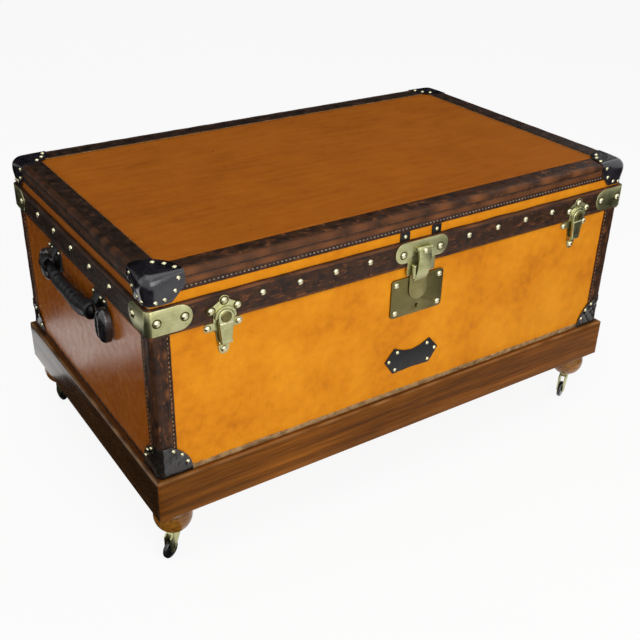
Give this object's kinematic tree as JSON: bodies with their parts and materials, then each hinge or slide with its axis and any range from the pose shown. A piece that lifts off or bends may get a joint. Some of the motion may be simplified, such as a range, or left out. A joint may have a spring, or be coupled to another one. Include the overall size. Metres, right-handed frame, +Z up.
{
  "type": "canvas trunk",
  "caption": "Canvas-covered trunk with leather trims, nailed band, corner caps, hasp lock, draw latches and side handles, on a wooden stand with bun feet and casters.",
  "frame": {"origin": "on the floor, under the middle of the trunk", "axes": "+X along the length to the trunk's right end, the lock faces -Y, +Z up"},
  "size_m": [0.9692, 0.5667, 0.4926],
  "materials": {
    "stand_wood": "dark reddish-brown varnish over streaky grain",
    "block_wood": "plain unvarnished softwood",
    "foot_wood": "turned and varnished, golden amber",
    "brass": "pale worn brass with a dull greenish-gold tone",
    "brass_nail": "bright worn brass nail heads",
    "steel": "plain turned steel",
    "wheel_black": "black, slightly worn",
    "carcass_board": "plain poplar board",
    "canvas": "orange-yellow coated canvas, stained and worn",
    "canvas_lid": "orange coated canvas, darker and mottled on the top",
    "lining": "plain linen-weave cloth lining",
    "edge_leather": "very dark brown, creased, with worn reddish streaks",
    "worn_binding": "binding worn to a pale tan",
    "cap_leather": "moulded near-black leather with a polished sheen",
    "handle_leather": "black stitched leather with a polished sheen"
  },
  "bodies": {
    "stand": {"stand_rail_front": "stand_wood", "stand_rail_back": "stand_wood", "stand_rail_left": "stand_wood", "stand_rail_right": "stand_wood", "stand_corner_blocks": "block_wood", "bun_foot_fl": "foot_wood", "bun_foot_fr": "foot_wood", "bun_foot_bl": "foot_wood", "bun_foot_br": "foot_wood", "caster_sockets": "brass"},
    "trunk_body": {"body_walls": "carcass_board", "body_bottom_board": "carcass_board", "body_canvas": "canvas", "body_lining": "lining", "body_rim_lip": "carcass_board", "body_corner_trims": "edge_leather", "body_bottom_binding": "worn_binding", "bottom_corner_caps": "cap_leather", "lock_plate": "brass", "lock_case": "steel", "lock_patch": "cap_leather", "latch_bases": "brass", "pivot_pins": "steel", "handle_loops": "handle_leather", "body_nails": "brass_nail", "body_hinge_leaves": "brass"},
    "lid": {"lid_walls": "carcass_board", "lid_top_board": "carcass_board", "lid_canvas": "canvas_lid", "lid_lining": "lining", "lid_edge_trim": "edge_leather", "lid_band": "edge_leather", "top_corner_caps": "cap_leather", "corner_brackets": "brass", "latch_keepers": "brass", "hasp_plate": "brass", "hasp_pin": "steel", "strap_tabs": "edge_leather", "lid_nails": "brass_nail", "lid_rivets": "brass_nail", "lid_hinge_leaves": "brass"},
    "hasp": {"hasp": "brass"},
    "latch_lever_left": {"latch_lever_left": "brass"},
    "latch_lever_right": {"latch_lever_right": "brass"},
    "lock_bolt": {"lock_bolt": "steel"},
    "handle_left": {"handle_grip_left": "handle_leather"},
    "handle_right": {"handle_grip_right": "handle_leather"},
    "caster_fl": {"caster_fork_fl": "brass", "caster_axle_fl": "steel"},
    "wheel_fl": {"caster_wheel_fl": "wheel_black"},
    "caster_fr": {"caster_fork_fr": "brass", "caster_axle_fr": "steel"},
    "wheel_fr": {"caster_wheel_fr": "wheel_black"},
    "caster_bl": {"caster_fork_bl": "brass", "caster_axle_bl": "steel"},
    "wheel_bl": {"caster_wheel_bl": "wheel_black"},
    "caster_br": {"caster_fork_br": "brass", "caster_axle_br": "steel"},
    "wheel_br": {"caster_wheel_br": "wheel_black"}
  },
  "joints": [
    {"name": "trunk_lift", "type": "slide", "parent": "stand", "child": "trunk_body", "axis": [0, 0, 1], "range_m": [0, 0.1]},
    {"name": "lid_hinge", "type": "hinge", "parent": "trunk_body", "child": "lid", "pos_m": [0, 0.2785, 0.4013], "axis": [-1, 0, 0], "range_deg": [0, 100]},
    {"name": "hasp_hinge", "type": "hinge", "parent": "lid", "child": "hasp", "pos_m": [0, -0.2783, 0.431], "axis": [-1, 0, 0], "range_deg": [0, 110]},
    {"name": "latch_left", "type": "hinge", "parent": "trunk_body", "child": "latch_lever_left", "pos_m": [-0.3413, -0.2731, 0.3683], "axis": [1, 0, 0], "range_deg": [0, 120]},
    {"name": "latch_right", "type": "hinge", "parent": "trunk_body", "child": "latch_lever_right", "pos_m": [0.3413, -0.2731, 0.3683], "axis": [1, 0, 0], "range_deg": [0, 120]},
    {"name": "lock_bolt_slide", "type": "slide", "parent": "trunk_body", "child": "lock_bolt", "axis": [-1, 0, 0], "range_m": [0, 0.008]},
    {"name": "handle_left_swing", "type": "hinge", "parent": "trunk_body", "child": "handle_left", "pos_m": [-0.4655, 0, 0.372], "axis": [0, 1, 0], "range_deg": [0, 85]},
    {"name": "handle_right_swing", "type": "hinge", "parent": "trunk_body", "child": "handle_right", "pos_m": [0.4655, 0, 0.372], "axis": [0, -1, 0], "range_deg": [0, 85]},
    {"name": "swivel_fl", "type": "hinge", "parent": "stand", "child": "caster_fl", "pos_m": [-0.423, -0.2415, 0.035], "axis": [0, 0, 1], "continuous": true},
    {"name": "roll_fl", "type": "hinge", "parent": "caster_fl", "child": "wheel_fl", "pos_m": [-0.43369, -0.24695, 0.0155], "axis": [-0.454, 0.891, 0], "continuous": true},
    {"name": "swivel_fr", "type": "hinge", "parent": "stand", "child": "caster_fr", "pos_m": [0.423, -0.2415, 0.035], "axis": [0, 0, 1], "continuous": true},
    {"name": "roll_fr", "type": "hinge", "parent": "caster_fr", "child": "wheel_fr", "pos_m": [0.41231, -0.24695, 0.0155], "axis": [-0.454, 0.891, 0], "continuous": true},
    {"name": "swivel_bl", "type": "hinge", "parent": "stand", "child": "caster_bl", "pos_m": [-0.423, 0.2415, 0.035], "axis": [0, 0, 1], "continuous": true},
    {"name": "roll_bl", "type": "hinge", "parent": "caster_bl", "child": "wheel_bl", "pos_m": [-0.42508, 0.25332, 0.0155], "axis": [0.9848, 0.1736, 0], "continuous": true},
    {"name": "swivel_br", "type": "hinge", "parent": "stand", "child": "caster_br", "pos_m": [0.423, 0.2415, 0.035], "axis": [0, 0, 1], "continuous": true},
    {"name": "roll_br", "type": "hinge", "parent": "caster_br", "child": "wheel_br", "pos_m": [0.417, 0.25189, 0.0155], "axis": [0.866, 0.5, 0], "continuous": true}
  ]
}
